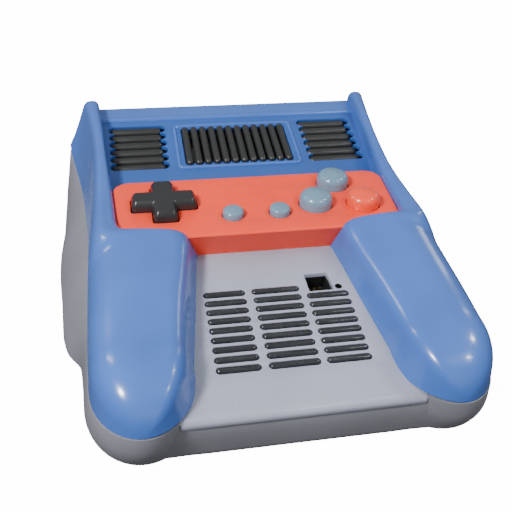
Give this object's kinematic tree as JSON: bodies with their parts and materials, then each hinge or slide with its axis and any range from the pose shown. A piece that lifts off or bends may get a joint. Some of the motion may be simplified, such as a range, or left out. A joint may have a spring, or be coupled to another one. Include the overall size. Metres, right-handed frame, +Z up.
{
  "type": "game console with controller",
  "caption": "Game console with built-in controller: grey casing, blue shell with two palm grips, red control panel with direction pad and round buttons, vent grilles and louvred deck.",
  "frame": {"origin": "centre of the bounding box underside, on the table between the four feet", "axes": "+X to the right hand of the player, +Y to the back of the console, +Z up"},
  "size_m": [0.1654, 0.1829, 0.0603],
  "materials": {
    "grey_casing": "satin moulded",
    "blue_shell": "glossy moulded",
    "grey_deck": "satin moulded",
    "red_panel": "satin moulded",
    "black_pad": "satin moulded",
    "black_plastic": "matte moulded",
    "pale_button": "glossy moulded",
    "orange_button": "glossy moulded",
    "dark_bars": "satin moulded",
    "slate_bars": "satin moulded",
    "steel": "plain",
    "gold_contacts": "plated",
    "circuit_board": "solder mask",
    "white_rubber": "plain",
    "speaker_frame": "painted",
    "speaker_paper": "pressed paper",
    "chip_black": "moulded epoxy",
    "aluminium": "extruded",
    "capacitor_sleeve": "shrink sleeve",
    "white_plastic": "plain",
    "ribbon_grey": "plain",
    "foot_rubber": "plain"
  },
  "bodies": {
    "console": {"base_tub": "grey_casing", "top_shell": "blue_shell", "front_deck": "grey_deck", "control_panel": "red_panel", "dpad_seat": "black_plastic", "vent_grille_left": "dark_bars", "vent_grille_centre": "dark_bars", "vent_grille_right": "dark_bars", "deck_louvres_left": "slate_bars", "deck_louvres_centre": "slate_bars", "deck_louvres_right": "slate_bars", "link_socket": "black_plastic", "link_contacts": "gold_contacts", "link_board": "circuit_board", "link_board_screws": "steel", "reset_switch": "black_plastic", "speaker_basket": "speaker_frame", "speaker_cone": "speaker_paper", "speaker_magnet": "steel", "speaker_screws": "steel", "control_board": "circuit_board", "dpad_membrane": "white_rubber", "menu_membrane": "white_rubber", "action_membrane": "white_rubber", "control_board_screws": "steel", "panel_screws": "steel", "main_board": "circuit_board", "processor": "chip_black", "heat_sink": "aluminium", "memory_chips": "chip_black", "video_chip": "chip_black", "capacitors": "capacitor_sleeve", "clock_crystal": "steel", "power_jack": "black_plastic", "power_pin": "steel", "av_jack": "black_plastic", "power_switch_body": "black_plastic", "ribbon_sockets": "white_plastic", "ribbon_cable": "ribbon_grey", "main_board_screws": "steel", "case_screws": "steel", "rubber_feet": "foot_rubber"},
    "dpad_gimbal": {"dpad_pivot": "steel"},
    "dpad_key": {"dpad": "black_pad"},
    "left_menu_key": {"left_menu_button": "pale_button"},
    "right_menu_key": {"right_menu_button": "pale_button"},
    "rear_action_key": {"rear_action_button": "pale_button"},
    "front_action_key": {"front_action_button": "pale_button"},
    "right_action_key": {"right_action_button": "orange_button"},
    "reset_key": {"reset_plunger": "black_plastic"},
    "power_slider": {"power_switch_knob": "dark_bars"}
  },
  "joints": [
    {"name": "dpad_pitch", "type": "hinge", "parent": "console", "child": "dpad_gimbal", "pos_m": [-0.037, 0.00799, 0.03999], "axis": [1, 0, 0], "range_deg": [-3.5, 3.5], "stiffness_Nm_per_rad": 0.3},
    {"name": "dpad_roll", "type": "hinge", "parent": "dpad_gimbal", "child": "dpad_key", "pos_m": [-0.037, 0.00799, 0.03999], "axis": [0, 0.9982, 0.0598], "range_deg": [-3.5, 3.5], "stiffness_Nm_per_rad": 0.3},
    {"name": "left_menu_press", "type": "slide", "parent": "console", "child": "left_menu_key", "axis": [0, 0.0598, -0.9982], "range_m": [0, 0.0012], "stiffness_N_per_m": 400},
    {"name": "right_menu_press", "type": "slide", "parent": "console", "child": "right_menu_key", "axis": [0, 0.0598, -0.9982], "range_m": [0, 0.0012], "stiffness_N_per_m": 400},
    {"name": "rear_action_press", "type": "slide", "parent": "console", "child": "rear_action_key", "axis": [0, 0.0598, -0.9982], "range_m": [0, 0.0012], "stiffness_N_per_m": 500},
    {"name": "front_action_press", "type": "slide", "parent": "console", "child": "front_action_key", "axis": [0, 0.0598, -0.9982], "range_m": [0, 0.0012], "stiffness_N_per_m": 500},
    {"name": "right_action_press", "type": "slide", "parent": "console", "child": "right_action_key", "axis": [0, 0.0598, -0.9982], "range_m": [0, 0.0012], "stiffness_N_per_m": 500},
    {"name": "reset_press", "type": "slide", "parent": "console", "child": "reset_key", "axis": [0, 0.1736, -0.9848], "range_m": [0, 0.0004], "stiffness_N_per_m": 200},
    {"name": "power_slide", "type": "slide", "parent": "console", "child": "power_slider", "axis": [1, 0, 0], "range_m": [0, 0.0034]}
  ]
}
